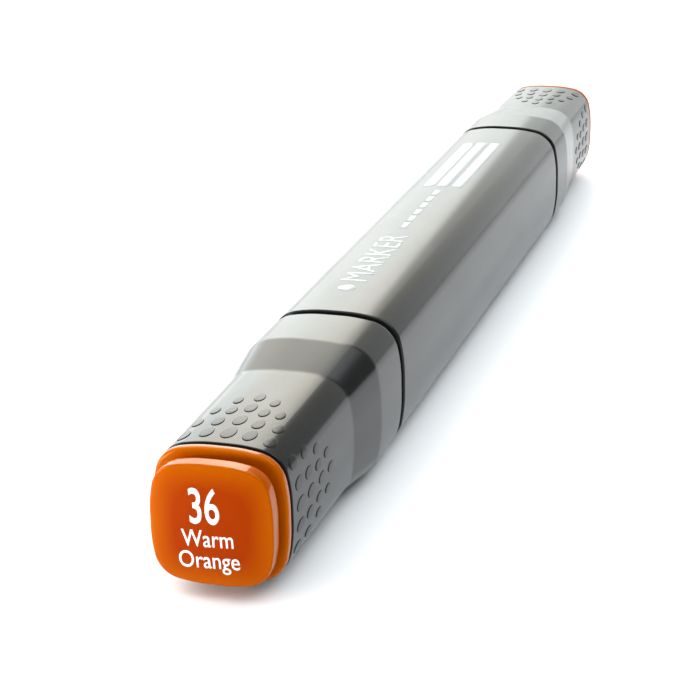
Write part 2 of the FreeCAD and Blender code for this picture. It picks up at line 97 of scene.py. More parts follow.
AXIS_Z = (cad_low.z + cad_high.z) / 2 / MM
BODY_HALF = (cad_high.z - cad_low.z) / 2 / MM
FLAT_SHARE = 0.12              # flat part of a side over the half width
BOW_SHARE = 2.3                # radius of the bowed part over the half width
CORNER_SHARE = 0.475           # corner radius over the half width
TAIL_HALF = 6.62               # half width of a cap at its plug end
WAIST_HALF = 6.8               # half width at the foot of its shoulder
CAP_WALL = 1.25                # wall of the caps and of the barrel
SEAT_GAP = 0.05                # between pieces that seat on each other
SLIP_GAP = 0.15                # between pieces that slide
BUTTON_HALF = 6.0              # the plug's button, the groove behind it and its flange
DOME = 0.16                    # how far the middle of the plug's face stands out
DOME_HALF = 5.75               # half width of that dome
BUTTON_BACK = 1.65
NECK_HALF = 5.35
FLANGE_HALF = half_height("broad_end_plug")
FLANGE_FRONT = 2.55
FLANGE_BACK = 3.5
SPIGOT_WALL = 1.1
SPIGOT_LENGTH = 4.6
LEDGE_HALF = half_height("broad_cap_liner")
LEDGE_DEPTH = 0.38             # thickness of the liner's flange
LINER_WALL = 0.8
SLEEVE_HALF = TAIL_HALF - CAP_WALL - SEAT_GAP
SLEEVE_LENGTH = 5.2
SPIGOT_HALF = SLEEVE_HALF - LINER_WALL - SEAT_GAP
CUP_FLOOR = 0.9
LIP_LENGTH = 1.2               # of the lip at the liner cup's mouth
CUP_RADIUS = 5.15
RING_HALF = half_height("broad_nib_holder")
STEM_HALF = 5.8
BEAD_HALF = BODY_HALF - CAP_WALL - SLIP_GAP
BEAD_SETBACK = 2.6
BEAD_WIDTH = 0.9
SOCKET_HALF = BODY_HALF - CAP_WALL - SEAT_GAP
CORE_SEAT = 5.15               # radius of the holder's seat for the reservoir
LAND_RADIUS = 4.1
LAND_LENGTH = 3.0
STEM_LENGTH = 7.4
CHISEL = (2.9, 5.2)            # thickness and width of the broad nib
CHISEL_SLANT = 2.4             # how much further back its short corner is
CHISEL_EDGE = 0.3              # half thickness of its writing edge
CHISEL_BEVEL = 1.9
BULLET_RADIUS = 1.05
BULLET_TAPER = 1.5
NIB_GAP = 0.06                 # round a nib in its holder
DOT_ROWS = [                   # station, sideways step, dots, and how far back the others sit
    (6.5, 2.12, 5, (0.15, 0.55)),
    (9.6, 2.0, 5, (0.5, 0.6)),
    (12.8, 1.63, 5, (0.9, 0.9)),
    (15.5, 1.87, 3, (1.0,)),
]
DOT_LONG = 2.7                 # length along the cap of the middle oval dot nearest the plug
DOT_WIDE = 1.46                # width of that dot
DOT_SHRINK = 0.9               # each row over the row before, and each dot over its inner neighbour
DOT_SHIFT = 0.3                # how far the dots' pattern sits to one side
DOT_HEIGHT = 0.06
INK_LIFT = 0.012               # how far printed ink stands above what it is on
SIDES = 4


class End:
    """One end's stations, inward from its plug face.

    full and slope are the lengths of its cap's full-size part and of the shoulder before that.
    mouth_radius is the radius of its nib holder round the nib.
    """

    def __init__(self, name, full, slope, mouth_radius):
        self.name = name
        self.body = f"{name}_cap"
        self.fine = name == "fine"
        self.face = (cad_high.x if self.fine else cad_low.x) / MM
        self.shell_front, self.rim = self.stations(f"{name}_cap_shell")
        self.shoulder = self.rim - full
        self.waist = self.shoulder - slope
        self.barrel, _ = self.stations("barrel")
        self.mouth, self.socket_back = self.stations(f"{name}_nib_holder")
        self.mouth_radius = mouth_radius
        self.ring_front = self.rim + SEAT_GAP
        self.ring_back = self.barrel - SEAT_GAP
        self.stem_front = self.ring_front - STEM_LENGTH
        self.ledge_front, self.cup_mouth = self.stations(f"{name}_cap_liner")
        nib = "fine_bullet_nib" if self.fine else "broad_chisel_nib"
        self.nib_tip, self.nib_back = self.stations(nib)

    def inward(self, x):
        """Distance inward from the plug's face of a coordinate along the marker."""
        return abs(x - self.face)

    def stations(self, node):
        """The near and far stations of a CAD node."""
        return sorted(self.inward(x) for x in span(node, 0))

    def point(self, x, y, z):
        """A point of this end's frame in the marker's frame, in metres."""
        if self.fine:
            x, y = -x, -y
        return Vector(((self.face + x) * MM, y * MM, (AXIS_Z + z) * MM))


BROAD = End("broad", 8.0, 7.4, 3.6)
FINE = End("fine", 7.2, 9.0, 1.9)


# ---- mesh tools ----

def section_arcs(half):
    """A section's flat, bow and corner, the two arcs' centres, and the angle where they meet."""
    flat, bow, corner = FLAT_SHARE * half, BOW_SHARE * half, CORNER_SHARE * half
    inward = half - bow
    reach = inward + flat
    spare = reach**2 - 2 * (inward**2 + flat**2 - (bow - corner) ** 2)
    centre = (reach + math.sqrt(spare)) / 2
    turn = math.atan2(centre - flat, centre - inward)
    return flat, bow, corner, inward, centre, turn


def bowed_square(steps=4):
    """The section's figure at half width 1: (y, z) points all round, tangent arcs and flats."""
    flat, bow, corner, inward, centre, turn = section_arcs(1)
    quarter = [(1.0, -flat), (1.0, 0.0)]
    for k in range(steps):
        angle = turn * k / steps
        quarter.append((inward + bow * math.cos(angle), flat + bow * math.sin(angle)))
    corner_steps = steps * 4
    for k in range(corner_steps + 1):
        angle = turn + (math.pi / 2 - 2 * turn) * k / corner_steps
        quarter.append((centre + corner * math.cos(angle), centre + corner * math.sin(angle)))
    for k in range(1, steps):
        angle = math.pi / 2 - turn * (1 - k / steps)
        quarter.append((flat + bow * math.cos(angle), inward + bow * math.sin(angle)))
    points = []
    for side in range(SIDES):
        c, s = math.cos(side * math.pi / 2), math.sin(side * math.pi / 2)
        points += [(y * c - z * s, y * s + z * c) for y, z in quarter]
    return points


SQUARE = bowed_square()
CIRCLE = [(y / math.hypot(y, z), z / math.hypot(y, z)) for y, z in SQUARE]


def slot_figure(half_thick, half_wide, corner=0.25):
    """A rounded rectangle whose points lie in the same directions as the section's."""
    points = []
    for y, z in CIRCLE:
        reach = min(half_thick / max(abs(y), 1e-6), half_wide / max(abs(z), 1e-6))
        py, pz = y * reach, z * reach
        over_y = abs(py) - (half_thick - corner)
        over_z = abs(pz) - (half_wide - corner)
        if over_y > 0 and over_z > 0:
            length = math.hypot(over_y, over_z)
            py = math.copysign(half_thick - corner + corner * over_y / length, py)
            pz = math.copysign(half_wide - corner + corner * over_z / length, pz)
        points.append((py, pz))
    return points


def ring(x, half, figure=SQUARE):
    """A figure at a station, half times its own size."""
    return [(x, y * half, z * half) for y, z in figure]


def rounded(corners, steps=4):
    """An (x, half) outline with its corners rounded: each corner is (x, half, setback)."""
    outline = []
    for k, corner in enumerate(corners):
        here = Vector(corner[:2])
        setback = corner[2] if len(corner) > 2 else 0
        if not setback or k in (0, len(corners) - 1):
            outline.append(tuple(here))
            continue
        before = (Vector(corners[k - 1][:2]) - here).normalized() * setback
        after = (Vector(corners[k + 1][:2]) - here).normalized() * setback
        for step in range(steps + 1):
            t = step / steps
            spot = here + before * (1 - t) ** 2 + after * t**2
            outline.append(tuple(spot))
    return outline


def make_object(name, verts, faces, end):
    """An object from points in an end's frame."""
    mesh = bpy.data.meshes.new(name)
    mesh.from_pydata([end.point(*v) for v in verts], [], faces)
    mesh.validate()
    mesh.update()
    mesh.shade_smooth()
    piece = bpy.data.objects.new(name, mesh)
    bpy.context.scene.collection.objects.link(piece)
    return piece


def skin(name, rings, end, loop=False):
    """Joins rings of equal point count into a closed skin, with a fan over each end."""
    count = len(rings[0])
    verts = [v for one in rings for v in one]
    faces = []
    pairs = [(k, k + 1) for k in range(len(rings) - 1)]
    if loop:
        pairs.append((len(rings) - 1, 0))
    for a, b in pairs:
        for k in range(count):
            j = (k + 1) % count
            faces.append((a * count + k, a * count + j, b * count + j, b * count + k))
    if not loop:
        for which in (0, len(rings) - 1):
            centre = len(verts)
            middle = [sum(v[i] for v in rings[which]) / count for i in range(3)]
            verts.append(tuple(middle))
            for k in range(count):
                j = (k + 1) % count
                faces.append((which * count + j, which * count + k, centre))
    return make_object(name, verts, faces, end)


def finish_mesh(piece):
    """Makes the faces point outward and holds flat faces flat beside small roundings."""
    work = bmesh.new()
    work.from_mesh(piece.data)
    bmesh.ops.remove_doubles(work, verts=work.verts, dist=1e-7)
    bmesh.ops.recalc_face_normals(work, faces=work.faces)
    work.to_mesh(piece.data)
    work.free()
    piece.data.shade_smooth()
    weighted = piece.modifiers.new("flat faces", "WEIGHTED_NORMAL")
    weighted.weight = 60
    return piece


def settle(piece, body, look, *nodes, slot_name=None):
    """Gives a piece its body, its look, and the CAD nodes it stands for; slot_name is not used."""
    piece.data.materials.clear()
    piece.data.materials.append(MATERIALS[look])
    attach(piece, body)
    if nodes:
        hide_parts(*nodes)


# ---- materials ----

class Nodes:
    """A small helper for a material's node tree."""

    def __init__(self, name):
        self.material = bpy.data.materials.new(name)
        self.material.use_nodes = True
        self.tree = self.material.node_tree
        self.shader = self.tree.nodes["Principled BSDF"]
        where = self.tree.nodes.new("ShaderNodeTexCoord")
        self.place = where.outputs["Object"]

    def add(self, kind, **settings):
        """A new node, with each setting put on its input or else its property."""
        node = self.tree.nodes.new(kind)
        for key, value in settings.items():
            if key in node.inputs:
                node.inputs[key].default_value = value
            else:
                setattr(node, key, value)
        return node

    def link(self, source, target):
        self.tree.links.new(source, target)

    def noise(self, scale, detail=3.0, roughness=0.5, stretch=None):
        """Noise with a scale in cells per metre, optionally stretched along an axis."""
        node = self.add("ShaderNodeTexNoise", Scale=scale, Detail=detail, Roughness=roughness)
        source = self.place
        if stretch:
            mapping = self.add("ShaderNodeMapping")
            mapping.inputs["Scale"].default_value = stretch
            self.link(source, mapping.inputs["Vector"])
            source = mapping.outputs["Vector"]
        self.link(source, node.inputs["Vector"])
        return node.outputs["Fac"]

    def spread(self, source, low, high, start=0.3, stop=0.7):
        """Maps a noise value to a range."""
        node = self.add("ShaderNodeMapRange")
        node.inputs["From Min"].default_value = start
        node.inputs["From Max"].default_value = stop
        node.inputs["To Min"].default_value = low
        node.inputs["To Max"].default_value = high
        self.link(source, node.inputs["Value"])
        return node.outputs["Result"]

    def colours(self, source, stops):
        """Maps a value to a colour through (place, colour) stops."""
        ramp = self.add("ShaderNodeValToRGB")
        elements = ramp.color_ramp.elements
        while len(elements) < len(stops):
            elements.new(0.5)
        for element, (spot, colour) in zip(elements, stops):
            element.position = spot
            element.color = (*colour, 1)
        self.link(source, ramp.inputs["Fac"])
        return ramp.outputs["Color"]

    def bump(self, layers):
        """Bump from several height sources, each (source, height in metres)."""
        normal = None
        for source, height in layers:
            node = self.add("ShaderNodeBump", Distance=height, Strength=1.0)
            self.link(source, node.inputs["Height"])
            if normal is not None:
                self.link(normal, node.inputs["Normal"])
            normal = node.outputs["Normal"]
        self.link(normal, self.shader.inputs["Normal"])


def shade(colour, factor):
    return tuple(channel * factor for channel in colour)


def moulded_plastic(name, colour, rough=(0.2, 0.28), grain=4e-6, specular=0.5, wear=1.5):
    """Injection-moulded plastic: faint cloudy colour, handling marks and a fine skin texture."""
    m = Nodes(name)
    cloud = m.noise(110, 4)
    tint = m.colours(cloud, [(0.3, shade(colour, 0.92)), (0.7, shade(colour, 1.08))])
    m.link(tint, m.shader.inputs["Base Color"])
    handling = m.noise(260, 5, 0.6, (0.35, 1, 1))
    m.link(m.spread(handling, *rough), m.shader.inputs["Roughness"])
    skin_texture = m.noise(9000, 2)
    swell = m.noise(60, 1)
    m.bump([(swell, grain * wear), (skin_texture, grain)])
    m.shader.inputs["IOR"].default_value = 1.5
    m.shader.inputs["Specular IOR Level"].default_value = specular
    return m


GREY = (0.0125, 0.0125, 0.0125)
ORANGE_DEEP = (0.27, 0.022, 0.0)
# Lighter orange towards the plug's edges: a painted glow, standing in for light scattering through
# the plastic.
ORANGE_EDGE_GLOW = (0.42, 0.095, 0.0)


def grey_material():
    m = moulded_plastic("grey_plastic", GREY, (0.15, 0.21), 1.5e-6)
    m.shader.inputs["IOR"].default_value = 1.32
    return m.material


def dot_material():
    return moulded_plastic("grip_dots", shade(GREY, 0.8), (0.2, 0.27), 3e-6, 0.2).material


def black_material():
    return moulded_plastic("black_plastic", (0.003, 0.003, 0.003), (0.5, 0.6), 5e-6, 0.02).material


def orange_material():
    """Slightly translucent orange with a painted glow: deeper in the middle and lighter towards the
    edges, standing in for light scattering through the plastic.
    """
    m = moulded_plastic("orange_plastic", ORANGE_DEEP, (0.09, 0.14), 2e-6, 0.38)
    m.shader.inputs["Specular Tint"].default_value = (1.0, 0.25, 0.0, 1)
    apart = m.add("ShaderNodeVectorMath", operation="SUBTRACT")
    apart.inputs[1].default_value = (0, 0, AXIS_Z * MM)
    m.link(m.place, apart.inputs[0])
    both = m.add("ShaderNodeVectorMath", operation="ABSOLUTE")
    m.link(apart.outputs["Vector"], both.inputs[0])
    split = m.add("ShaderNodeSeparateXYZ")
    m.link(both.outputs["Vector"], split.inputs["Vector"])
    reach = m.add("ShaderNodeMath", operation="SMOOTH_MAX")
    m.link(split.outputs["Y"], reach.inputs[0])
    m.link(split.outputs["Z"], reach.inputs[1])
    # In metres: how softly the two reaches join, and where the painted glow leaves the colour
    # deepest and lightest.
    blend, deepest, lightest = 0.004, 0.0036, 0.0067
    reach.inputs[2].default_value = blend
    # Painted glow: the colour lightens from the middle towards the edges, as light scattering
    # through the plastic would.
    share = m.spread(reach.outputs["Value"], 0.0, 1.0, deepest, lightest)
    tint = m.colours(share, [(0.0, ORANGE_DEEP), (1.0, ORANGE_EDGE_GLOW)])
    m.link(tint, m.shader.inputs["Base Color"])
    m.shader.inputs["Subsurface Weight"].default_value = 0.25
    m.shader.inputs["Subsurface Radius"].default_value = (1.0, 0.4, 0.05)
    m.shader.inputs["Subsurface Scale"].default_value = 0.0016
    return m.material


def ink_material(name, colour):
    """Pad-printed ink: slightly uneven cover with a soft gloss."""
    m = Nodes(name)
    cover = m.noise(3500, 3)
    tint = m.colours(cover, [(0.3, shade(colour, 0.95)), (0.7, shade(colour, 1.05))])
    m.link(tint, m.shader.inputs["Base Color"])
    m.link(m.spread(cover, 0.35, 0.5), m.shader.inputs["Roughness"])
    m.bump([(cover, 3e-6)])
    return m.material


def felt_material(name, colour, along):
    """Pressed fibre soaked with ink: streaks along the nib, a soft sheen and a rough skin."""
    m = Nodes(name)
    streak = m.noise(5200, 4, 0.6, along)
    tint = m.colours(streak, [
        (0.25, shade(colour, 0.55)), (0.5, colour), (0.8, shade(colour, 1.35)),
    ])
    m.link(tint, m.shader.inputs["Base Color"])
    m.link(m.spread(streak, 0.55, 0.8), m.shader.inputs["Roughness"])
    m.bump([(streak, 4e-5), (m.noise(14000, 2), 1e-5)])
    m.shader.inputs["Sheen Weight"].default_value = 0.25
    m.shader.inputs["Sheen Roughness"].default_value = 0.5
    return m.material


def film_material():
    m = moulded_plastic("clear_film", (0.75, 0.72, 0.66), (0.2, 0.35), 4e-6)
    m.shader.inputs["Transmission Weight"].default_value = 0.4
    return m.material


MATERIALS = {
    "grey_plastic": grey_material(),
    "grip_dots": dot_material(),
    "black_plastic": black_material(),
    "orange_plastic": orange_material(),
    "nib_felt": felt_material("nib_felt", (0.62, 0.13, 0.01), (0.12, 1, 1)),
    "ink_fibre": felt_material("ink_fibre", (0.70, 0.20, 0.02), (0.05, 1, 1)),
    "clear_film": film_material(),
    "white_print": ink_material("white_print", (0.9, 0.9, 0.88)),
    "silver_print": ink_material("silver_print", (0.5, 0.53, 0.52)),
}


# ---- the barrel ----

def make_barrel():
    """The barrel's tube, with rounded rims."""
    low, high = span("barrel", 0)
    start, stop = BROAD.barrel, BROAD.barrel + high - low
    inner = BODY_HALF - CAP_WALL
    edge = 0.22
    outline = hold_long_runs(rounded([
        (start, inner), (start, BODY_HALF, edge), (stop, BODY_HALF, edge), (stop, inner),
    ]))
    rings = [ring(x, half) for x, half in outline]
    piece = finish_mesh(skin("barrel_tube", rings, BROAD, loop=True))
    settle(piece, "marker_body", "grey_plastic", "barrel")


def hold_long_runs(outline, longest=4.0, hold=0.12):
    """Splits long straight runs of an outline, closely at their ends, so shading stays even."""
    result = [outline[0]]
    for before, after in zip(outline, outline[1:]):
        length = math.dist(before, after)
        pieces = max(1, math.ceil(length / longest))
        shares = [k / pieces for k in range(1, pieces + 1)]
        if length > 4 * hold:
            shares = sorted(shares + [hold / length, 1 - hold / length])
        for t in shares:
            result.append(tuple(a + (b - a) * t for a, b in zip(before, after)))
    return result


# ---- caps ----

def make_shell(end):
    """A cap's outer shell: slim at the plug, with a sloping shoulder up to its full rim."""
    wall = CAP_WALL
    edge = 0.2
    corners = [
        (end.shell_front + 0.01, TAIL_HALF - wall),
        (end.shell_front, TAIL_HALF, 0.1),
        (end.waist, WAIST_HALF, 0.35),
        (end.shoulder, BODY_HALF, 0.35),
        (end.rim, BODY_HALF, edge),
        (end.rim, BODY_HALF - wall, 0.15),
        (end.shoulder, BODY_HALF - wall),
        (end.waist, WAIST_HALF - wall),
    ]
    outline = hold_long_runs(rounded(corners))
    rings = [ring(x, half) for x, half in outline]
    piece = finish_mesh(skin(f"{end.name}_cap_tube", rings, end, loop=True))
    settle(piece, end.body, "grey_plastic", f"{end.name}_cap_shell")


def make_liner(end):
    """The liner, from the bottom of its cup over the mouth, sleeve and flange to the socket."""
    cup_bore = CUP_RADIUS - LINER_WALL
    lip_bore = LAND_RADIUS + SLIP_GAP
    socket_half = SLEEVE_HALF - LINER_WALL
    ledge_back = end.ledge_front + LEDGE_DEPTH
    floor_front = ledge_back + SLEEVE_LENGTH
    floor_back = floor_front + CUP_FLOOR
    lip_back = end.cup_mouth - LIP_LENGTH
    soft, fine_edge = 0.2, 0.08
    rings = [
        ring(floor_back, cup_bore * 0.5, CIRCLE),
        ring(floor_back, cup_bore - 0.4, CIRCLE),
        ring(floor_back + 0.12, cup_bore - 0.12, CIRCLE),
        ring(floor_back + 0.4, cup_bore, CIRCLE),
        ring(lip_back - 0.3, cup_bore, CIRCLE),
        ring(lip_back, lip_bore, CIRCLE),
        ring(end.cup_mouth - soft, lip_bore, CIRCLE),
        ring(end.cup_mouth, lip_bore + soft, CIRCLE),
        ring(end.cup_mouth, CUP_RADIUS - soft, CIRCLE),
        ring(end.cup_mouth - soft, CUP_RADIUS, CIRCLE),
        ring(floor_front + 0.05, CUP_RADIUS, CIRCLE),
        ring(floor_front, SLEEVE_HALF - 0.05),
        ring(floor_front - 0.1, SLEEVE_HALF),
        ring(ledge_back, SLEEVE_HALF),
        ring(ledge_back, LEDGE_HALF - fine_edge),
        ring(ledge_back - fine_edge, LEDGE_HALF),
        ring(end.ledge_front + fine_edge, LEDGE_HALF),
        ring(end.ledge_front, LEDGE_HALF - fine_edge),
        ring(end.ledge_front, socket_half),
        ring(floor_front, socket_half),
        ring(floor_front, socket_half * 0.5),
    ]
    piece = finish_mesh(skin(f"{end.name}_cap_inner", rings, end))
    settle(piece, end.body, "black_plastic", f"{end.name}_cap_liner")


def face_depth(half):
    """How far the plug's domed face lies behind its middle, at a half width of the figure."""
    return DOME * (half / DOME_HALF) ** 2.4


def make_plug(end):
    """The end plug: a domed face, a side wall, a groove, a flange and a spigot."""
    rounds = 10
    pin = 0.02                                   # half width of a ring that closes a surface
    spigot_back = FLANGE_BACK + SPIGOT_LENGTH
    halves = [max(DOME_HALF * k / rounds, pin) for k in range(rounds + 1)]
    edge = rounded([                             # (station, half width, rounding)
        (DOME, DOME_HALF), (DOME + 0.04, BUTTON_HALF - 0.03, 0.13), (BUTTON_BACK, BUTTON_HALF, 0.1),
        (BUTTON_BACK + 0.1, NECK_HALF, 0.25), (FLANGE_FRONT, NECK_HALF + 0.05, 0.25),
        (FLANGE_FRONT + 0.05, FLANGE_HALF, 0.35), (FLANGE_BACK, FLANGE_HALF, 0.15),
        (FLANGE_BACK, SPIGOT_HALF), (spigot_back, SPIGOT_HALF, 0.2),
        (spigot_back, SPIGOT_HALF - SPIGOT_WALL), (FLANGE_BACK, SPIGOT_HALF - SPIGOT_WALL),
        (FLANGE_BACK, pin),
    ], 5)
    rings = [ring(face_depth(half), half) for half in halves]
    rings += [ring(x, half) for x, half in edge[1:]]
    piece = finish_mesh(skin(f"{end.name}_plug", rings, end))
    settle(piece, end.body, "orange_plastic", f"{end.name}_end_plug")


def section_level(half, sideways):
    """Height and lean of a section's top side at a place sideways of its middle."""
    flat, bow, corner, inward, centre, turn = section_arcs(half)
    across = abs(sideways)
    if across <= flat:
        return half, 0.0
    if across <= flat + bow * math.sin(turn):
        lean = math.asin((across - flat) / bow)
        return inward + bow * math.cos(lean), math.copysign(lean, sideways)
    lean = math.asin(min(1.0, (across - centre) / corner))
    return centre + corner * math.cos(lean), math.copysign(lean, sideways)


def slim_half(end, x):
    """Half width of a cap's slim part at a station."""
    run = (x - end.shell_front) / (end.waist - end.shell_front)
    return TAIL_HALF + (WAIST_HALF - TAIL_HALF) * run


def on_top(half, x, sideways, height):
    """A point a height above the top side of a section."""
    level, lean = section_level(half, sideways)
    return (x, sideways + height * math.sin(lean), level + height * math.cos(lean))


def quarter_turn(point, side):
    """A point turned about the axis to one of the four sides."""
    x, y, z = point
    for _ in range(side):
        y, z = -z, y
    return (x, y, z)


def dot_places():
    """Station, sideways place and relative size of each grip dot on one side of a cap."""
    places = []
    size = 1.0
    for station, step, count, back in DOT_ROWS:
        for k in range(-(count // 2), count // 2 + 1):
            setback = back[abs(k) - 1] if k else 0.0
            places.append((station - setback, k * step + DOT_SHIFT, size * DOT_SHRINK ** abs(k)))
        size *= DOT_SHRINK
    return places


def make_dots(end):
    """Low oval dots that follow the cap's surface on all four sides."""
    segments = 32
    sunk = -0.6                                  # share of the height, below the surface
    # Shares of a dot's size and of its height, from a flat top over a rounded rim and down.
    rings = [(0.35, 1.0), (0.9, 1.0), (0.96, 0.93), (0.99, 0.72), (1.0, 0.4), (1.0, sunk)]
    verts, faces = [], []
    for side in range(SIDES):
        for station, sideways, size in dot_places():
            first = len(verts)
            half = slim_half(end, station)
            verts.append(quarter_turn(on_top(half, station, sideways, DOT_HEIGHT), side))
            for share, lift in rings:
                for k in range(segments):
                    angle = math.tau * k / segments
                    reach = size * share / 2
                    x = station + DOT_LONG * reach * math.cos(angle)
                    across = sideways + DOT_WIDE * reach * math.sin(angle)
                    spot = on_top(slim_half(end, x), x, across, DOT_HEIGHT * lift)
                    verts.append(quarter_turn(spot, side))
            for k in range(segments):
                j = (k + 1) % segments
                faces.append((first, first + 1 + k, first + 1 + j))
                for r in range(len(rings) - 1):
                    a = first + 1 + r * segments
                    faces.append((a + k, a + segments + k, a + segments + j, a + j))
            last = first + 1 + (len(rings) - 1) * segments
            faces.append(tuple(last + k for k in reversed(range(segments))))
    piece = finish_mesh(make_object(f"{end.name}_dots", verts, faces, end))
    settle(piece, end.body, "grip_dots", f"{end.name}_cap_grip_dots")


# ---- writing parts ----

def make_holder(end):
    """A nib holder, from its channel over the nose, stem, bead, ring and socket to the core seat."""
    stem_front = end.stem_front
    bead = stem_front + BEAD_SETBACK
    land_front = stem_front - LAND_LENGTH
    if end.fine:
        hole = [(y * (BULLET_RADIUS + NIB_GAP), z * (BULLET_RADIUS + NIB_GAP)) for y, z in CIRCLE]
    else:
        hole = slot_figure(CHISEL[0] / 2 + NIB_GAP, CHISEL[1] / 2 + NIB_GAP)
    mouth = end.mouth
    lip = end.mouth_radius
    channel_back = end.ring_back - 1.0
    seat_floor = 3.2                             # radius of a ring on the floor of the core's seat
    rings = [
        ring(channel_back, 1.0, hole),
        ring(mouth + 0.25, 1.0, hole),
        [(mouth + 0.02, y * 1.05, z * 1.05) for y, z in hole],
        ring(mouth, lip - 0.25, CIRCLE),
        ring(mouth + 0.07, lip - 0.07, CIRCLE),
        ring(mouth + 0.25, lip + 0.02, CIRCLE),
        ring(land_front - 0.1, LAND_RADIUS - 0.04, CIRCLE),
        ring(land_front + 0.15, LAND_RADIUS, CIRCLE),
        ring(stem_front - 0.25, LAND_RADIUS, CIRCLE),
        ring(stem_front - 0.05, LAND_RADIUS + 0.08, CIRCLE),
        ring(stem_front, LAND_RADIUS + 0.3, CIRCLE),
    ]
    outer = rounded([                            # (station, half width, rounding)
        (stem_front, LAND_RADIUS + 0.5), (stem_front, STEM_HALF, 0.25),
        (bead - 0.15, STEM_HALF, 0.1), (bead + 0.1, BEAD_HALF, 0.12),
        (bead + BEAD_WIDTH - 0.1, BEAD_HALF, 0.12), (bead + BEAD_WIDTH + 0.15, STEM_HALF, 0.1),
        (end.ring_front, STEM_HALF, 0.12), (end.ring_front, RING_HALF, 0.12),
        (end.ring_back, RING_HALF, 0.12), (end.ring_back, SOCKET_HALF, 0.05),
        (end.socket_back, SOCKET_HALF, 0.25), (end.socket_back, CORE_SEAT + 0.4),
    ], 3)
    rings += [ring(x, half) for x, half in outer[1:]]
    rings += [
        ring(end.socket_back, CORE_SEAT, CIRCLE),
        ring(end.ring_back, CORE_SEAT, CIRCLE),
        ring(end.ring_back, seat_floor, CIRCLE),
    ]
    piece = finish_mesh(skin(f"{end.name}_holder", rings, end))
    settle(piece, "marker_body", "black_plastic", f"{end.name}_nib_holder")


def make_chisel():
    """The broad nib: a felt bar whose slanted tip is bevelled to a writing edge."""
    end = BROAD
    half_thick, half_wide = CHISEL[0] / 2, CHISEL[1] / 2
    blunt = 0.18                                 # length of the rounding at the writing edge
    bevel_steps, slices = 6, 14
    figure = slot_figure(half_thick, half_wide, 0.3)

    def tip_shift(z):
        """How far back the slanted end is at a height across the nib."""
        return CHISEL_SLANT * (z + half_wide) / (2 * half_wide)

    rings = []
    for squeeze, back in ((0.55, 0.0), (0.92, 0.05), (1.0, blunt)):
        rings.append([
            (end.nib_tip + back + tip_shift(z), y * squeeze * CHISEL_EDGE / half_thick,
             z * (1 - (1 - squeeze) * 0.25))
            for y, z in figure
        ])
    for k in range(1, bevel_steps + 1):
        share = k / bevel_steps
        thin = CHISEL_EDGE + (half_thick - CHISEL_EDGE) * share
        back = blunt + (CHISEL_BEVEL - blunt) * share
        rings.append([
            (end.nib_tip + back + tip_shift(z), y * thin / half_thick, z) for y, z in figure
        ])
    front = end.nib_tip + CHISEL_BEVEL
    for k in range(1, slices + 1):
        share = k / slices
        rings.append([
            (front + (end.nib_back - front) * share + tip_shift(z) * (1 - share), y, z)
            for y, z in figure
        ])
    piece = finish_mesh(skin("chisel_nib", rings, end))
    settle(piece, "marker_body", "nib_felt", "broad_chisel_nib")


def make_bullet():
    """The fine nib: a felt rod with a tapered, rounded tip."""
    end = FINE
    tip, shoulder = end.nib_tip, end.nib_tip + BULLET_TAPER
    outline = [
        (tip, 0.02), (tip + 0.02, 0.16), (tip + 0.1, 0.29), (tip + 0.25, 0.38),
        (shoulder, BULLET_RADIUS - 0.03), (shoulder + 0.2, BULLET_RADIUS),
        (end.nib_back, BULLET_RADIUS), (end.nib_back, 0.02),
    ]
    rings = [ring(x, radius, CIRCLE) for x, radius in outline]
    piece = finish_mesh(skin("bullet_nib", rings, end))
    settle(piece, "marker_body", "nib_felt", "fine_bullet_nib")


# ---- pad-printed marks ----

def lettering(text, middle, baseline, tall, wide, weight=0.0):
    """Flat outlines of plain sans letters: cap height, overall width, and place in millimetres."""
    def outline(body):
        curve = bpy.data.curves.new("lettering", "FONT")
        curve.body = body
        curve.offset = weight
        curve.resolution_u = 5
        helper = bpy.data.objects.new("lettering", curve)
        bpy.context.scene.collection.objects.link(helper)
        shape = helper.evaluated_get(bpy.context.evaluated_depsgraph_get())
        mesh = bpy.data.meshes.new_from_object(shape)
        spots = [(v.co.x, v.co.y) for v in mesh.vertices]
        faces = [tuple(face.vertices) for face in mesh.polygons]
        for data, owner in ((helper, bpy.data.objects), (curve, bpy.data.curves),
                            (mesh, bpy.data.meshes)):
            owner.remove(data)
        return spots, faces

    cap = max(y for x, y in outline("H")[0])
    spots, faces = outline(text)
    left = min(x for x, y in spots)
    right = max(x for x, y in spots)
    across, up = wide / (right - left), tall / cap
    return [(middle + (x - (left + right) / 2) * across, baseline + y * up)
            for x, y in spots], faces


def bar(left, right, low, high):
    """A flat rectangle, as points and faces."""
    return [(left, low), (right, low), (right, high), (left, high)], [(0, 1, 2, 3)]


def disc(x, y, radius, segments=32):
    """A flat disc, as points and faces."""
    spots = [(x + radius * math.cos(math.tau * k / segments),
              y + radius * math.sin(math.tau * k / segments)) for k in range(segments)]
    return spots, [tuple(range(segments))]


def turn_shapes(shapes, degrees):
    """Flat shapes turned anticlockwise about the middle."""
    c, s = math.cos(math.radians(degrees)), math.sin(math.radians(degrees))
    return [([(x * c - y * s, x * s + y * c) for x, y in spots], faces)
            for spots, faces in shapes]


